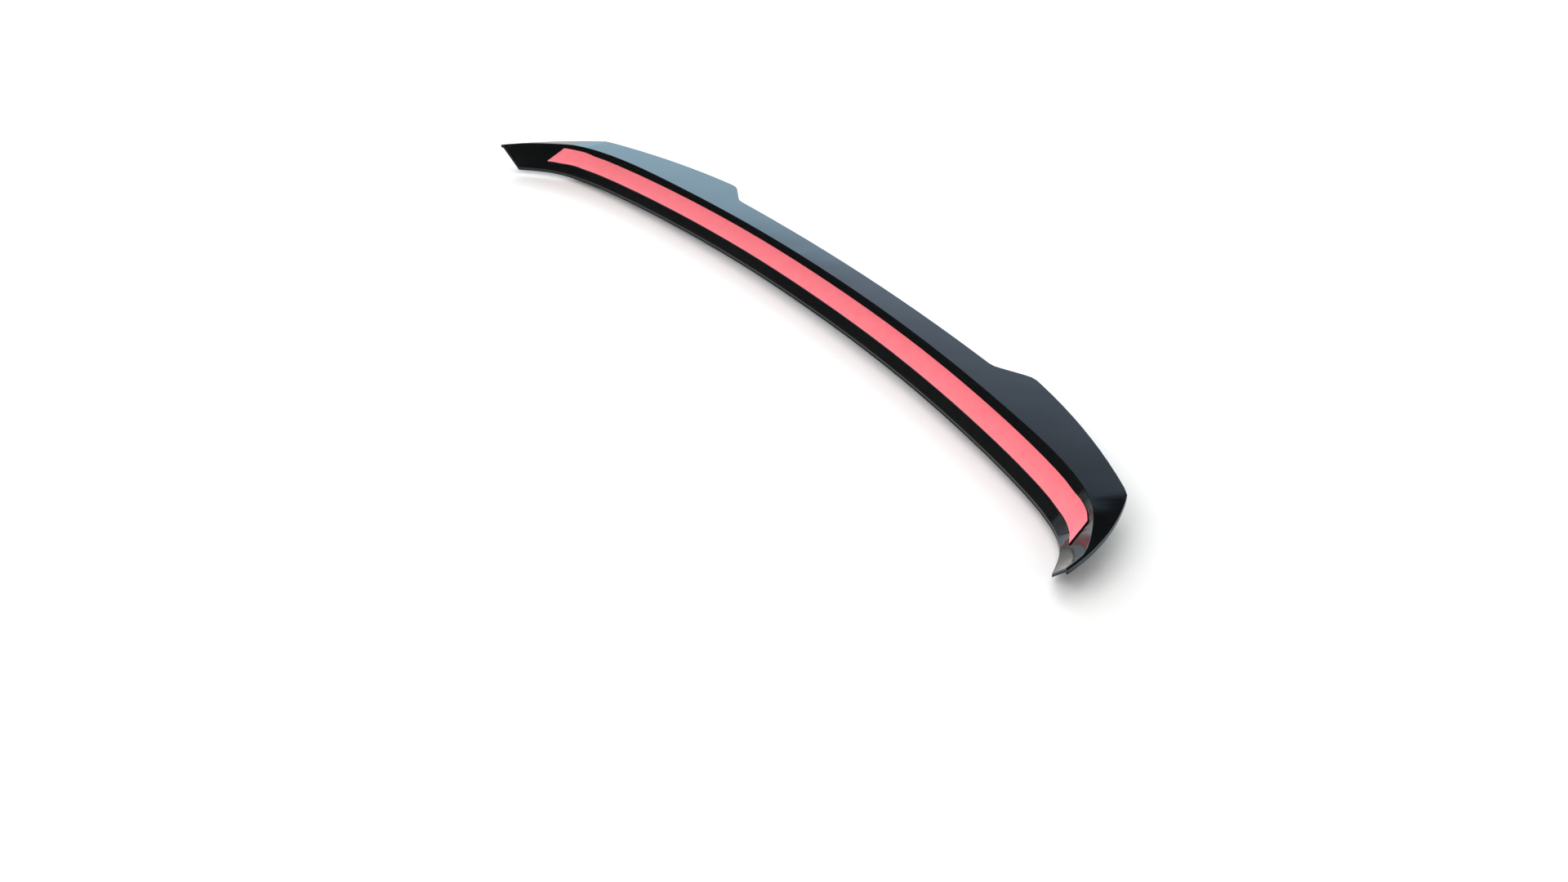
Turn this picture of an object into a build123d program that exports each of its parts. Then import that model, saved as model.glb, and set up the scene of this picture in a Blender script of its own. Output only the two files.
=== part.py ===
"""Bonded cap for the rear edge of a car's spoiler: two ABS skins, foam cores and a foam-tape mounting.

Millimetres. X runs across the car, Y rearward and Z up. Z = 0 is the flat underside of the trailing lip.
Every piece is lofted through the same upright sections, so that the pieces meet face to face.
"""
from build123d import *
from math import atan2, cos, degrees, hypot, radians, sin
import os

os.makedirs("parts", exist_ok=True)

# Plan view, right half. The left half mirrors it.
half_span = 600.0            # centre line to the tip of the swept end
tip_y = -11.0                # the tip, measured from the front corner of the end edge
corner_in = 31.0             # front corner of the end edge, in from the tip, at y = 0
front_mid_y = 104.6          # leading edge on the centre line
rear_mid_y = 173.0           # trailing edge on the centre line
step_x = 262.0               # inner end of the step in the trailing edge
step_run = 42.0              # width of the step
step_depth = 21.0            # how far the step goes rearward
mid_bow = 10.4               # how far the middle trailing edge has come forward at the step
step_radius = 24.0           # rounding of both corners of the step
wing_in, wing_y = 68.0, 113.5     # rear corner where the side edge begins, in from the tip
wing_bow = 7.9               # rise of the arc from the step to that corner
wing_radius = 30.0
end_bow = 8.4                # rise of the end edge's arc from that corner to the tip
facet_in, facet_y = 60.0, 66.0    # where the end's underside facet meets the ridge
crest_mid_y = 109.6          # crest on the centre line
ridge_mid_y = 140.3          # ridge on the centre line
crest_end = (4.0, 1.3)       # end of the crest, in from the tip and behind it
ridge_end = (3.6, 1.2)
fan_in, fan_y = 100.0, 24.5  # the upright axis that the end sections turn about

# How the edges run from the centre to the ends, as (share of half_span, share of the height or
# y on the centre line), and then as (distance in from the tip, y).
front_inner = [(0.300, 0.948), (0.567, 0.795), (0.750, 0.625)]
front_outer = [(92, 49.4), (53, 25.6)]
crest_inner = [(0.300, 0.962), (0.500, 0.872), (0.683, 0.748)]
crest_outer = [(100, 68.0), (51, 60.0), (27, 36.0), (12, 11.0)]
ridge_inner = [(0.333, 0.947), (0.620, 0.813), (0.793, 0.672)]
ridge_outer = [(63, 68.0), (28, 37.0), (11.5, 14.0)]

# Heights above the lip's underside.
rim_height = 33.6            # top of the leading edge at the ends
rim_sag = 2.7                # how much lower it is on the centre line
crest_rise = 4.0             # crest above the leading edge
crest_turn_in = 110.0        # where the crest begins to fall, in from the tip
crest_heights = [(76, 0.955), (51, 0.643), (28, 0.464), (12, 0.280)]     # shares of rim_height
tip_lift = 5.5               # how far the facet under each end rises towards the tip
foot_drop = 3.5              # foot of the ramp below the crest where it turns forward
foot_mid = 4.0               # the ramp's first part along the middle, in line with the rest
ramp_run = 8.0               # the ramp's run in plan where the end flange is open
band_to_ridge = 4.5          # from the end of the mounting band to the ridge
band_kink = 3.0              # how hollow the corner is where the band meets the end's inner face

# Walls and bonded layers. All are measured upright, so that they meet without a gap.
skin = 2.0
bond = 0.4                   # adhesive between the skins at the rims
bead_width = 3.0
rim = 2 * skin + bond        # thickness of every outer edge
tape_width = 21.5            # across the band
tape_margin = 12.5           # bare strip along the leading edge, measured across the band
tape_thickness = 1.3
liner_thickness = 0.6
tape_end_rear = (55.0, 55.5)      # the slanted end of the tape, in from the tip and y
tape_end_front = (51.0, 34.0)
core_front, core_rear = 14.0, 52.0    # the foam's depth range behind the leading edge

corner_x = half_span - corner_in
wing_x = half_span - wing_in
fan_x = half_span - fan_in
crest_turn_x = half_span - crest_turn_in
fan_start, fan_steps = 90.0, 16
fan_end = degrees(atan2(tip_y - fan_y, fan_in))
tape_last_turn = 89.5


def spread(start, end, steps):
    """Evenly spaced values from start to end."""
    return [start + (end - start) * i / steps for i in range(steps + 1)]


mid_stations = spread(0, step_x - 30, 6)
step_stations = spread(step_x - 14, step_x + step_run + 22, 10)
wing_stations = spread(step_x + step_run + 42, fan_x, 7)


def guide(mid_y, inner, outer, end):
    """Plan points of an edge from the centre line to its end near the tip."""
    points = [(0, mid_y)] + [(half_span * a, mid_y * b) for a, b in inner]
    return points + [(half_span - a, y) for a, y in outer] + [end]


with BuildLine(Plane.XY) as front_edge:
    Spline(guide(front_mid_y, front_inner, front_outer, (corner_x, 0)), tangents=[(1, 0), (0.62, -0.78)])

with BuildLine(Plane.XY) as rear_edge:
    TangentArc((0, rear_mid_y), (step_x, rear_mid_y - mid_bow), tangent=(1, 0))
    wing_start = (step_x + step_run, rear_mid_y - mid_bow + step_depth)
    Line((step_x, rear_mid_y - mid_bow), wing_start)
    SagittaArc(wing_start, (wing_x, wing_y), wing_bow)
    SagittaArc((wing_x, wing_y), (half_span, tip_y), end_bow)
    fillet(rear_edge.vertices().sort_by(Axis.X)[1:3], step_radius)
    fillet(rear_edge.vertices().sort_by_distance((wing_x, wing_y))[0], wing_radius)

with BuildLine(Plane.XY) as crest_plan:
    crest_tip = (half_span - crest_end[0], tip_y + crest_end[1])
    Spline(guide(crest_mid_y, crest_inner, crest_outer, crest_tip), tangents=[(1, 0), (0.5, -0.87)])

with BuildLine(Plane.XY) as ridge_plan:
    ridge_tip = (half_span - ridge_end[0], tip_y + ridge_end[1])
    Spline(guide(ridge_mid_y, ridge_inner, ridge_outer, ridge_tip), tangents=[(1, 0), (0.4, -0.92)])

# Elevation of the crest against X.
with BuildLine(Plane.XY) as crest_fall:
    falling = [(half_span - a, rim_height * share) for a, share in crest_heights]
    Spline([(crest_turn_x, rim_height + crest_rise)] + falling + [(half_span, rim + 1.0)],
           tangents=[(1, 0), (1, -0.5)])


def crossing(wire, start, end):
    """First point where a plan curve meets the straight line from start to end."""
    cut = Edge.make_line((*start, 0), (*end, 0))
    for edge in wire.edges():
        found = edge.find_intersection_points(cut)
        if found:
            return found[0]
    raise ValueError(f"no crossing between {start} and {end}")


def smooth(value, low, high):
    """0 below low, 1 above high, and an even blend between them."""
    share = min(1.0, max(0.0, (value - low) / (high - low)))
    return share * share * (3 - 2 * share)


def height_at(outline, distance):
    """Height of an open outline at a distance from the leading edge."""
    for (a, b), (c, d) in zip(outline, outline[1:]):
        if a <= distance <= c:
            return b + (d - b) * (distance - a) / (c - a)
    raise ValueError("outside the outline")


def facet_height(point):
    """Height of the underside lip. It is flat up to a crease across each end, and rises from there."""
    start = Vector(half_span - facet_in, facet_y)
    crease = (Vector(wing_x, wing_y) - start).normalized()
    outward = Vector(crease.Y, -crease.X)
    past, past_at_tip = [(at - start).dot(outward) for at in (point, Vector(half_span, tip_y))]
    return max(0.0, tip_lift * past / past_at_tip)


def along(outline, length):
    """Distance from the leading edge after a length measured along an open outline."""
    for (a, b), (c, d) in zip(outline, outline[1:]):
        piece = hypot(c - a, d - b)
        if length <= piece:
            return a + (c - a) * length / piece
        length -= piece
    raise ValueError("past the end of the outline")


class Station:
    """One upright section, with its outlines as (distance from the leading edge, height)."""

    def __init__(self, base, end, turn):
        front = crossing(front_edge, base, end)
        rear = crossing(rear_edge, base, end)
        crest = crossing(crest_plan, base, end)
        ridge = crossing(ridge_plan, base, end)
        run = Vector(end[0] - base[0], end[1] - base[1]).normalized()
        self.plane = Plane(origin=(front.X, front.Y, 0), x_dir=run, z_dir=run.cross(Vector(0, 0, 1)))
        chord, crest_d, ridge_d = [(point - front).length for point in (rear, crest, ridge)]
        rim_top = rim_height - rim_sag * max(0.0, 1 - (front.X / fan_x) ** 2)
        rim_low = rim_top - rim
        if crest.X < crest_turn_x:
            crest_z = rim_top + crest_rise
        else:
            cut = Edge.make_line((crest.X, 0, 0), (crest.X, 2 * rim_height, 0))
            crest_z = crest_fall.edges()[0].find_intersection_points(cut)[0].Y

        # The mounting band ends beside the ridge, and beside the leading edge at the swept ends.
        closing = smooth(turn, 32, 76)
        band_d = (ridge_d - band_to_ridge) * (1 - closing) + (bead_width + 1) * closing
        kink = band_kink * smooth(turn, 12, 45) * (1 - smooth(turn, 60, 100))
        ridge_z, rear_z = facet_height(ridge), facet_height(rear)
        band_z = rim_low + (ridge_z - rim_low) * band_d / ridge_d + kink
        self.lower = [(0, rim_low), (band_d, band_z), (ridge_d, ridge_z), (chord, rear_z)]

        # The ramp's foot leaves the line from rim to crest where the end flange opens.
        opening = smooth(turn, 0, 50)
        tapering = smooth(turn, 60, 109)
        foot_d = foot_mid * (1 - opening) + (crest_d - ramp_run * (1 - tapering / 2)) * opening
        foot_line = rim_top + (crest_z - rim_top) * foot_d / crest_d
        foot_open = crest_z - foot_drop * (1 - tapering)
        foot_z = foot_line * (1 - opening) + foot_open * opening
        foot_z = max(foot_z, height_at(self.lower, foot_d) + rim)
        crest_z = max(crest_z, height_at(self.lower, crest_d) + rim)
        self.upper = [(0, rim_top), (foot_d, foot_z), (crest_d, crest_z), (chord, rear_z + rim)]

        # The hollow corner stays below the upper skin.
        self.lower[1] = (band_d, min(band_z, height_at(self.upper, band_d) - rim))

        self.upper_in = [(d, z - skin) for d, z in self.upper]
        self.lower_in = [(d, z + skin) for d, z in self.lower]
        self.chord = chord
        self.turn = turn
        self.ridge_d = ridge_d

    def between(self, start, end, lowest=()):
        """Outline of the space between the skins from start to end, with any extra lower points."""
        top = [(d, height_at(self.upper_in, d)) for d in (start, end)]
        bottom = [(d, height_at(self.lower_in, d)) for d in (start, *lowest, end)]
        return top + bottom[::-1]

    def on_band(self, depth, thickness):
        """Outline of a layer of the tape's width that follows the underside at a depth off it."""
        start, end = [along(self.lower, run) for run in (tape_margin, tape_margin + tape_width)]
        bend = min(max(self.lower[1][0], start + 2), end - 2)
        line = [(d, height_at(self.lower, d) - depth) for d in (start, bend, end)]
        return line + [(d, z - thickness) for d, z in reversed(line)]


def section(plane, points):
    """A closed section face on its plane. Points in line with their neighbours are kept."""
    return Face(Wire.make_polygon([plane.from_local_coords((d, z, 0)) for d, z in points]))


def mirrored(plane):
    """The same station plane on the left half."""
    o, u, n = plane.origin, plane.x_dir, plane.z_dir
    return Plane(origin=(-o.X, o.Y, o.Z), x_dir=(-u.X, u.Y, u.Z), z_dir=(n.X, -n.Y, n.Z))


def full_span(outline, stations):
    """Section faces from left to right, with the outline worked out at each station."""
    left = [section(mirrored(s.plane), outline(s)) for s in reversed(stations[1:])]
    return left + [section(s.plane, outline(s)) for s in stations]


straight = {x: Station((x, -60), (x, 260), 0) for x in mid_stations + step_stations + wing_stations}
fan = []
reach_out = 1.5 * fan_in
for step in range(1, fan_steps + 1):
    angle = fan_start + (fan_end - fan_start) * step / fan_steps
    reach = (fan_x + reach_out * cos(radians(angle)), fan_y + reach_out * sin(radians(angle)))
    fan.append(Station((fan_x, fan_y), reach, fan_start - angle))
stations = list(straight.values()) + fan


with BuildPart() as upper_skin:
    loft(full_span(lambda s: s.upper + s.upper_in[::-1], stations), ruled=True, clean=False)

with BuildPart() as lower_skin:
    loft(full_span(lambda s: s.lower + s.lower_in[::-1], stations), ruled=True, clean=False)

# Adhesive beads fill the space between the skins along the leading and trailing edges.
with BuildPart() as front_seam_adhesive:
    loft(full_span(lambda s: s.between(0, bead_width), stations), ruled=True, clean=False)

with BuildPart() as rear_seam_adhesive:
    loft(full_span(lambda s: s.between(s.chord - bead_width, s.chord), stations), ruled=True, clean=False)

pieces = {
    "upper_skin": upper_skin,
    "lower_skin": lower_skin,
    "front_seam_adhesive": front_seam_adhesive,
    "rear_seam_adhesive": rear_seam_adhesive,
}

# Rigid foam blocks, bonded to both skins behind the ramp.
def core_outline(s):
    return s.between(core_front, core_rear, lowest=(s.ridge_d,))


with BuildPart() as foam_core_centre:
    loft(full_span(core_outline, [straight[x] for x in mid_stations[:4]]), ruled=True, clean=False)
with BuildPart() as foam_core_right:
    beside = [straight[x] for x in mid_stations[5:] + step_stations + wing_stations[:4]]
    loft([section(s.plane, core_outline(s)) for s in beside], ruled=True, clean=False)
with BuildPart() as foam_core_left:
    mirror(foam_core_right.part, about=Plane.YZ)
pieces["foam_core_centre"] = foam_core_centre
pieces["foam_core_right"] = foam_core_right
pieces["foam_core_left"] = foam_core_left

# The foam tape on the mounting band, and the film over it. Both end on the same slant.
slant_rear, slant_front = [Vector(half_span - a, y) for a, y in (tape_end_rear, tape_end_front)]
slant = (slant_front - slant_rear).normalized()
right_end = Plane(origin=slant_rear, x_dir=slant, z_dir=Vector(-slant.Y, slant.X))
taped = [s for s in stations if s.turn <= tape_last_turn]
for name, depth, thickness in (
    ("mounting_tape", 0, tape_thickness),
    ("release_liner", tape_thickness, liner_thickness),
):
    with BuildPart() as layer:
        loft(full_span(lambda s: s.on_band(depth, thickness), taped), ruled=True, clean=False)
        split(bisect_by=right_end, keep=Keep.BOTTOM)
        split(bisect_by=mirrored(right_end), keep=Keep.TOP)
    pieces[name] = layer

# The part's origin is on the underside, at the middle of its width and depth.
centre = upper_skin.part.bounding_box().center()
for name, piece in pieces.items():
    placed = piece.part.moved(Location((0, -centre.Y, 0)))
    placed.label = name
    export_step(placed, f"parts/{name}.step")
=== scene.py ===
"""Bonded cap for the trailing edge of a rear spoiler, seen from the side that the tape is on."""
from math import radians
import bpy
from mathutils import Matrix, Vector


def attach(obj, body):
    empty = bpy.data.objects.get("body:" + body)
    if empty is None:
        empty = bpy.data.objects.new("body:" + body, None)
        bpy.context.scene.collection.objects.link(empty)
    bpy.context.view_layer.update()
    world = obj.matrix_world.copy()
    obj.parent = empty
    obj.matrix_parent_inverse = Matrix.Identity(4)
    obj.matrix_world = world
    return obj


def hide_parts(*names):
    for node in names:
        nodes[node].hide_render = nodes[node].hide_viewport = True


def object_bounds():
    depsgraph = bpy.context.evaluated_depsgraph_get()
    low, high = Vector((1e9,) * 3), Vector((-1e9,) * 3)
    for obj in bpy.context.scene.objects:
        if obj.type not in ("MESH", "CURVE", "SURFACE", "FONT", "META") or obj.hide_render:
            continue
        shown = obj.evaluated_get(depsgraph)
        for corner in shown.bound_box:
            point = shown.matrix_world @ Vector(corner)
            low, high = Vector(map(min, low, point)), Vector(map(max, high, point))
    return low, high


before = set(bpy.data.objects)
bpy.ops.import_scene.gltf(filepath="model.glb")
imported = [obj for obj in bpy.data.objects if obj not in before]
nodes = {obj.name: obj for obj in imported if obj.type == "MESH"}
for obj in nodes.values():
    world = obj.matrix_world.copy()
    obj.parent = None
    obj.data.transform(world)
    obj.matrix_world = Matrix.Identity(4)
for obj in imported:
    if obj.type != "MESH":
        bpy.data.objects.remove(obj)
cad_low, cad_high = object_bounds()

# ---- Camera --------------------------------------------------------------------------------
# It looks up at the bonding side. The cap lies upside down in this view, so the camera is rolled
# over, and the picture's "up" is downwards in the cap's own frame.
bpy.ops.object.select_all(action="DESELECT")
bpy.ops.object.camera_add()
camera = bpy.context.object
camera.name = "camera"
camera.data.lens, camera.data.sensor_width = 41.98, 36.0      # millimetres
eye = Vector((-1.5859, -0.9948, -0.8347))
right, up = Vector((-0.5165, 0.8560, -0.0224)), Vector((0.4229, 0.2323, -0.8759))
turn = Matrix((right, up, right.cross(up))).transposed().to_4x4()
camera.matrix_world = Matrix.Translation(eye) @ turn
bpy.context.scene.camera = camera

# ---- The two skins -------------------------------------------------------------------------
# Two thermoformed sheets of gloss black ABS plastic, trimmed and bonded rim to rim. Each face has
# a slow draw ripple, a finer orange peel and a little haze, and each crease has a small radius.


class Shade:
    """A node output in a tree. Arithmetic on it adds Math nodes."""

    def __init__(self, tree, socket=None):
        self.tree, self.socket = tree, socket

    def add(self, kind, settings, inputs, out=0):
        """A new node. A list of (place, colour) stops goes to its colour ramp."""
        node = self.tree.nodes.new(kind)
        for name, value in settings.items():
            if name == "stops":
                ramp = node.color_ramp
                while len(ramp.elements) < len(value):
                    ramp.elements.new(1.0)
                for element, (place, colour) in zip(ramp.elements, value):
                    element.position, element.color = place, (*colour, 1.0)
            else:
                setattr(node, name, value)
        for key, value in inputs.items():
            if isinstance(value, Shade):
                self.tree.links.new(value.socket, node.inputs[key])
            else:
                node.inputs[key].default_value = value
        return Shade(self.tree, node.outputs[out] if len(node.outputs) else None)

    def sum(self, operation, a, b):
        """A Math node on two values or outputs."""
        return self.add("ShaderNodeMath", {"operation": operation}, {0: a, 1: b})

    def __add__(self, other):
        return self.sum("ADD", self, other)

    def __sub__(self, other):
        return self.sum("SUBTRACT", self, other)

    def __mul__(self, other):
        return self.sum("MULTIPLY", self, other)


def new_material(name, **sockets):
    """A material, its tree as a Shade, its Principled shader, and Object coordinates."""
    made = bpy.data.materials.new(name)
    made.use_nodes = True
    tree = Shade(made.node_tree)
    shader = made.node_tree.nodes["Principled BSDF"]
    for key, value in sockets.items():
        shader.inputs[key.replace("_", " ")].default_value = value
    place = tree.add("ShaderNodeTexCoord", {}, {}, "Object")
    return made, tree, shader, place


gloss_black, tree, shader, place = new_material("gloss_black_abs", IOR=1.5)
haze = tree.add("ShaderNodeTexNoise", {},
                {"Vector": place, "Scale": 9.0, "Detail": 4.0, "Roughness": 0.6})
dust = tree.add("ShaderNodeTexNoise", {}, {"Vector": place, "Scale": 900.0, "Detail": 2.0})
ripple = tree.add("ShaderNodeTexNoise", {}, {"Vector": place, "Scale": 14.0, "Detail": 1.0})
peel = tree.add("ShaderNodeTexNoise", {}, {"Vector": place, "Scale": 420.0, "Detail": 1.5})
tint = tree.add("ShaderNodeValToRGB", {"stops": [
    (0.3, (0.0040, 0.0044, 0.0046)), (0.75, (0.0062, 0.0068, 0.0070))]}, {0: haze})
tree.tree.links.new(tint.socket, shader.inputs["Base Color"])
tree.tree.links.new((haze * 0.06 + dust * 0.02 + 0.045).socket, shader.inputs["Roughness"])
bumps = tree.add("ShaderNodeBump", {},
                 {"Strength": 0.3, "Distance": 0.001, "Height": ripple * 0.7 + peel * 0.002})
tree.tree.links.new(bumps.socket, shader.inputs["Normal"])
weld_gap = 0.00002           # metres, below any real step in the mesh
crease_radius, crease_angle = 0.0006, 17


def smoothed_copy(node_name, width, angle):
    """A copy of a CAD node's mesh, joined up, with creases past an angle rounded to a width."""
    bpy.ops.object.select_all(action="DESELECT")
    made = bpy.data.objects.new(node_name + "_finished", nodes[node_name].data.copy())
    bpy.context.scene.collection.objects.link(made)
    bpy.context.view_layer.objects.active = made
    made.select_set(True)
    bpy.ops.object.mode_set(mode="EDIT")
    bpy.ops.mesh.select_all(action="SELECT")
    bpy.ops.mesh.remove_doubles(threshold=weld_gap)
    bpy.ops.mesh.tris_convert_to_quads(face_threshold=radians(12), shape_threshold=radians(60))
    bpy.ops.object.mode_set(mode="OBJECT")
    if width:
        rounding = made.modifiers.new("rounding", "BEVEL")
        rounding.limit_method, rounding.angle_limit = "ANGLE", radians(angle)
        rounding.width, rounding.segments = width, 3
        bpy.ops.object.modifier_apply(modifier="rounding")
    bpy.ops.object.shade_smooth_by_angle(angle=radians(angle))
    shading = made.modifiers.new("shading", "WEIGHTED_NORMAL")
    shading.mode, shading.weight, shading.keep_sharp = "FACE_AREA_WITH_ANGLE", 100, True
    bpy.ops.object.modifier_apply(modifier="shading")
    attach(made, "root")
    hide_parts(node_name)
    return made


def finish_in(piece, material):
    """Give a piece its one material."""
    piece.data.materials.clear()
    piece.data.materials.append(material)


for name in ("upper_skin", "lower_skin"):
    finish_in(smoothed_copy(name, crease_radius, crease_angle), gloss_black)

# ---- Bonded seams --------------------------------------------------------------------------
# A thin line of black adhesive holds the skins together along both rims.
seam_black, tree, shader, place = new_material("cured_adhesive", Roughness=0.4)
lumps = tree.add("ShaderNodeTexNoise", {}, {"Vector": place, "Scale": 160.0, "Detail": 3.0})
shade = tree.add("ShaderNodeValToRGB", {"stops": [
    (0.3, (0.006, 0.006, 0.006)), (0.8, (0.016, 0.016, 0.015))]}, {0: lumps})
tree.tree.links.new(shade.socket, shader.inputs["Base Color"])
tree.tree.links.new((lumps * 0.3 + 0.25).socket, shader.inputs["Roughness"])
bumps = tree.add("ShaderNodeBump", {}, {"Strength": 0.5, "Distance": 0.0003, "Height": lumps})
tree.tree.links.new(bumps.socket, shader.inputs["Normal"])
for name in ("front_seam_adhesive", "rear_seam_adhesive"):
    finish_in(nodes[name], seam_black)

# ---- Foam cores ----------------------------------------------------------------------------
# Cut blocks of rigid foam between the skins. They are hidden once the skins are bonded.
core_cream, tree, shader, place = new_material("rigid_core_foam", Roughness=0.9)
cells = tree.add("ShaderNodeTexVoronoi", {"feature": "F1"},
                 {"Vector": place, "Scale": 900.0}, "Distance")
shade = tree.add("ShaderNodeValToRGB", {"stops": [
    (0.1, (0.55, 0.48, 0.33)), (0.7, (0.78, 0.71, 0.52))]}, {0: cells})
tree.tree.links.new(shade.socket, shader.inputs["Base Color"])
bumps = tree.add("ShaderNodeBump", {}, {"Strength": 0.5, "Distance": 0.0004, "Height": cells})
tree.tree.links.new(bumps.socket, shader.inputs["Normal"])
for name in ("foam_core_centre", "foam_core_right", "foam_core_left"):
    finish_in(nodes[name], core_cream)

# ---- Mounting tape -------------------------------------------------------------------------
# Closed-cell acrylic foam with adhesive on both faces, laid along the band. Only its cut edge
# shows, dull and finely pored.
foam_black, tree, shader, place = new_material("closed_cell_tape", Roughness=0.8)
cells = tree.add("ShaderNodeTexVoronoi", {"feature": "F1"},
                 {"Vector": place, "Scale": 2600.0}, "Distance")
shade = tree.add("ShaderNodeValToRGB", {"stops": [
    (0.1, (0.010, 0.010, 0.011)), (0.6, (0.030, 0.030, 0.032))]}, {0: cells})
tree.tree.links.new(shade.socket, shader.inputs["Base Color"])
bumps = tree.add("ShaderNodeBump", {}, {"Strength": 0.6, "Distance": 0.0002, "Height": cells})
tree.tree.links.new(bumps.socket, shader.inputs["Normal"])
layer_angle = 20             # degrees, below which a cut layer's faces shade as one
finish_in(smoothed_copy("mounting_tape", 0, layer_angle), foam_black)

# ---- Release film --------------------------------------------------------------------------
# A pink plastic film over the tape's outer face, peeled off at fitting. It is a little cloudy
# and lies in faint waves where the tape takes the curve.
pink, tree, shader, place = new_material("pink_release_film", Roughness=0.55)
shader.inputs["Specular IOR Level"].default_value = 0.3
clouds = tree.add("ShaderNodeTexNoise", {},
                  {"Vector": place, "Scale": 70.0, "Detail": 5.0, "Roughness": 0.65})
grain = tree.add("ShaderNodeTexNoise", {}, {"Vector": place, "Scale": 1300.0, "Detail": 2.0})
shade = tree.add("ShaderNodeValToRGB", {"stops": [
    (0.25, (0.91, 0.205, 0.245)), (0.5, (0.93, 0.230, 0.272)), (0.75, (0.95, 0.265, 0.305))]},
    {0: clouds * 0.7 + grain * 0.3})
tree.tree.links.new(shade.socket, shader.inputs["Base Color"])
tree.tree.links.new((clouds * 0.25 + 0.42).socket, shader.inputs["Roughness"])
bumps = tree.add("ShaderNodeBump", {},
                 {"Strength": 0.12, "Distance": 0.0002, "Height": clouds * 0.6 + grain * 0.1})
tree.tree.links.new(bumps.socket, shader.inputs["Normal"])
finish_in(smoothed_copy("release_liner", 0, layer_angle), pink)

# ---- Studio --------------------------------------------------------------------------------
# A white sheet on each side of the cap, each seen from one side only, so that the cap lies on a
# floor both in its upside-down view and in views from above.
floor_white = bpy.data.materials.new("floor_white")
floor_white.use_nodes = True
tree = Shade(floor_white.node_tree)
floor_white.node_tree.nodes.clear()
paper = tree.add("ShaderNodeBsdfDiffuse", {}, {"Color": (0.72, 0.72, 0.72, 1.0)})
place = tree.add("ShaderNodeTexCoord", {}, {}, "Object")
distance = tree.add("ShaderNodeVectorMath", {"operation": "LENGTH"}, {0: place}, "Value")
fade_start, fade_end = 1.2, 3.2      # metres out, over which the sheet begins to light itself
far_share = tree.add("ShaderNodeMapRange", {"interpolation_type": "SMOOTHSTEP"},
                     {0: distance, 1: fade_start, 2: fade_end, 3: 0.0, 4: 1.0})
sheet_light = tree.add("ShaderNodeEmission", {},
                       {"Color": (1.0, 1.0, 1.0, 1.0), "Strength": far_share})
paper = tree.add("ShaderNodeAddShader", {}, {0: paper, 1: sheet_light})
clear = tree.add("ShaderNodeBsdfTransparent", {}, {})
back = tree.add("ShaderNodeNewGeometry", {}, {}, "Backfacing")
both = tree.add("ShaderNodeMixShader", {}, {0: back, 1: paper, 2: clear})
tree.add("ShaderNodeOutputMaterial", {}, {"Surface": both})
floor_white.cycles.emission_sampling = "NONE"

# The gloss sees a plain lit sheet for the floor and a dome for the room: a pale blue band of light
# behind the cap, a duller one in front, and dark overhead. Each skin has the pair that faces it.
floor_glow = bpy.data.materials.new("floor_glow")
floor_glow.use_nodes = True
tree = Shade(floor_glow.node_tree)
floor_glow.node_tree.nodes.clear()
lit = tree.add("ShaderNodeEmission", {}, {"Color": (0.95, 0.93, 0.90, 1.0), "Strength": 0.8})
passed = tree.add("ShaderNodeBsdfTransparent", {}, {})
added = tree.add("ShaderNodeAddShader", {}, {0: lit, 1: passed})
tree.add("ShaderNodeOutputMaterial", {}, {"Surface": added})
floor_glow.cycles.emission_sampling = "NONE"

dome_light = bpy.data.materials.new("dome_light")
dome_light.use_nodes = True
tree = Shade(dome_light.node_tree)
dome_light.node_tree.nodes.clear()
place = tree.add("ShaderNodeTexCoord", {}, {}, "Object")
direction = tree.add("ShaderNodeVectorMath", {"operation": "NORMALIZE"}, {0: place})
rise = tree.add("ShaderNodeSeparateXYZ", {}, {0: direction}, "Z")
depth = tree.add("ShaderNodeSeparateXYZ", {}, {0: direction}, "Y")
height = tree.add("ShaderNodeMath", {"operation": "ABSOLUTE"}, {0: rise})
stretched = tree.add("ShaderNodeVectorMath", {"operation": "MULTIPLY"},
                     {0: direction, 1: (1.5, 1.5, 9.0)})
streaks = tree.add("ShaderNodeTexNoise", {}, {"Vector": stretched, "Scale": 2.2, "Detail": 3.0})
level = height + (streaks - 0.5) * 0.09
behind = tree.add("ShaderNodeValToRGB", {"stops": [
    (0.00, (0.60, 0.60, 0.60)), (0.12, (0.50, 0.50, 0.52)), (0.26, (0.56, 0.85, 1.00)),
    (0.34, (0.54, 0.80, 1.00)), (0.42, (0.28, 0.34, 0.43)), (0.54, (0.065, 0.09, 0.12)),
    (0.62, (0.01, 0.012, 0.014))]}, {0: level})
before = tree.add("ShaderNodeValToRGB", {"stops": [
    (0.00, (0.30, 0.30, 0.30)), (0.28, (0.22, 0.24, 0.26)), (0.40, (0.02, 0.022, 0.024)),
    (1.00, (0.006, 0.006, 0.006))]}, {0: level})
turned_back = tree.add("ShaderNodeMapRange", {"interpolation_type": "SMOOTHSTEP"},
                       {0: depth, 1: -0.10, 2: 0.25, 3: 0.0, 4: 1.0})
band = tree.add("ShaderNodeMix", {"data_type": "RGBA"}, {0: turned_back, 6: before, 7: behind}, 2)
lit = tree.add("ShaderNodeEmission", {}, {"Color": band, "Strength": 2.6})
tree.add("ShaderNodeOutputMaterial", {}, {"Surface": lit})
dome_light.cycles.emission_sampling = "NONE"

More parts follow.
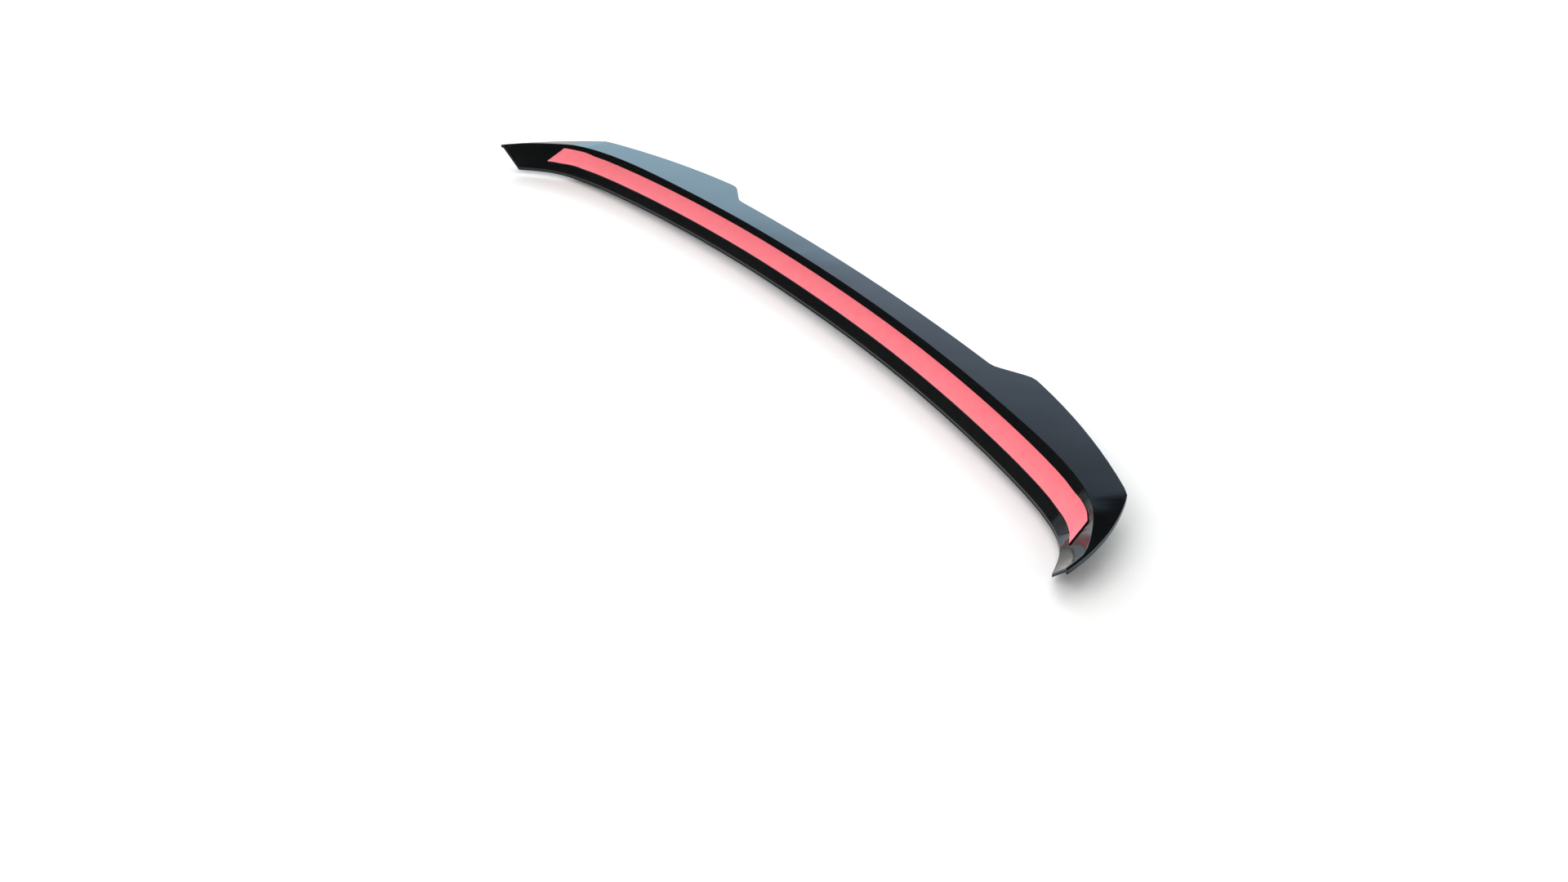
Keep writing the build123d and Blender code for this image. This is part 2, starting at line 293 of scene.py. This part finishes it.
floor_gap, glow_gap = 0.0006, 0.0010      # clear of the cap, and of each other
sheet_size, dome_radius = 60, 8
stage_finish = {"floor": floor_white, "glow": floor_glow, "dome": dome_light}
underside = ("lower_skin_finished", "mounting_tape_finished", "release_liner_finished")
upper_side = ("upper_skin_finished", "front_seam_adhesive", "rear_seam_adhesive")
for name, height, turned, kind, seen_by in (
    ("floor_above", cad_high.z + floor_gap, 180, "floor", ()),
    ("floor_below", cad_low.z - floor_gap, 0, "floor", ()),
    ("glow_above", cad_high.z + glow_gap, 180, "glow", underside),
    ("glow_below", cad_low.z - glow_gap, 0, "glow", upper_side),
    ("dome_below", 0, 0, "dome", underside),
    ("dome_above", 0, 180, "dome", upper_side),
):
    bpy.ops.object.select_all(action="DESELECT")
    if kind == "dome":
        bpy.ops.mesh.primitive_uv_sphere_add(segments=64, ring_count=32, radius=dome_radius)
        bpy.ops.object.mode_set(mode="EDIT")
        bpy.ops.mesh.select_all(action="SELECT")
        bpy.ops.mesh.bisect(plane_co=(0, 0, 0), plane_no=(0, 0, 1),
                            clear_outer=not turned, clear_inner=bool(turned))
        bpy.ops.object.mode_set(mode="OBJECT")
    else:
        bpy.ops.mesh.primitive_plane_add(size=sheet_size, location=(0, 0, height),
                                         rotation=(radians(turned), 0, 0))
    sheet = bpy.context.object
    sheet.name = name
    sheet.data.materials.append(stage_finish[kind])
    sheet.visible_shadow = False
    sheet.visible_glossy = kind != "floor"
    sheet.visible_camera = sheet.visible_diffuse = kind == "floor"
    if seen_by:
        lit_by_it = bpy.data.collections.new("lit_by_" + name)
        for piece in seen_by:
            lit_by_it.objects.link(bpy.data.objects[piece])
        sheet.light_linking.receiver_collection = lit_by_it

# Soft lamps over each floor, and a long low one behind that draws the shadow out to the front.
# They light the floors and dull surfaces and stay out of the gloss.
for side in (-1, 1):
    for x, y, z, length, width, power, colour in (
        (3.3, 2.0, 1.35, 3.6, 0.9, 132, (0.88, 0.95, 1.0)),
        (0.5, 0.9, 2.3, 2.2, 2.2, 26, (1.0, 0.98, 0.95)),
        (-0.8, -2.1, 1.7, 2.2, 2.2, 38, (1.0, 0.99, 0.98)),
    ):
        bpy.ops.object.select_all(action="DESELECT")
        bpy.ops.object.light_add(type="AREA", location=(x, y, side * z))
        lamp = bpy.context.object
        lamp.data.shape, lamp.data.size, lamp.data.size_y = "RECTANGLE", length, width
        lamp.data.energy, lamp.data.color = power, colour
        lamp.rotation_euler = Vector((x, y, side * z)).to_track_quat("Z", "Y").to_euler()
        lamp.visible_glossy = False

# The room itself is white to the eye and lights the dull surfaces a little.
room = bpy.data.worlds.new("room")
bpy.context.scene.world = room
room.use_nodes = True
room.node_tree.nodes.clear()
tree = Shade(room.node_tree)
eye_room = tree.add("ShaderNodeBackground", {}, {"Color": (1.0, 1.0, 1.0, 1.0), "Strength": 1.0})
dull_room = tree.add("ShaderNodeBackground", {},
                     {"Color": (1.0, 0.98, 0.96, 1.0), "Strength": 0.22})
is_eye = tree.add("ShaderNodeLightPath", {}, {}, "Is Camera Ray")
mixed = tree.add("ShaderNodeMixShader", {}, {0: is_eye, 1: dull_room, 2: eye_room})
tree.add("ShaderNodeOutputWorld", {}, {"Surface": mixed})
bpy.context.scene.view_settings.view_transform = "Standard"
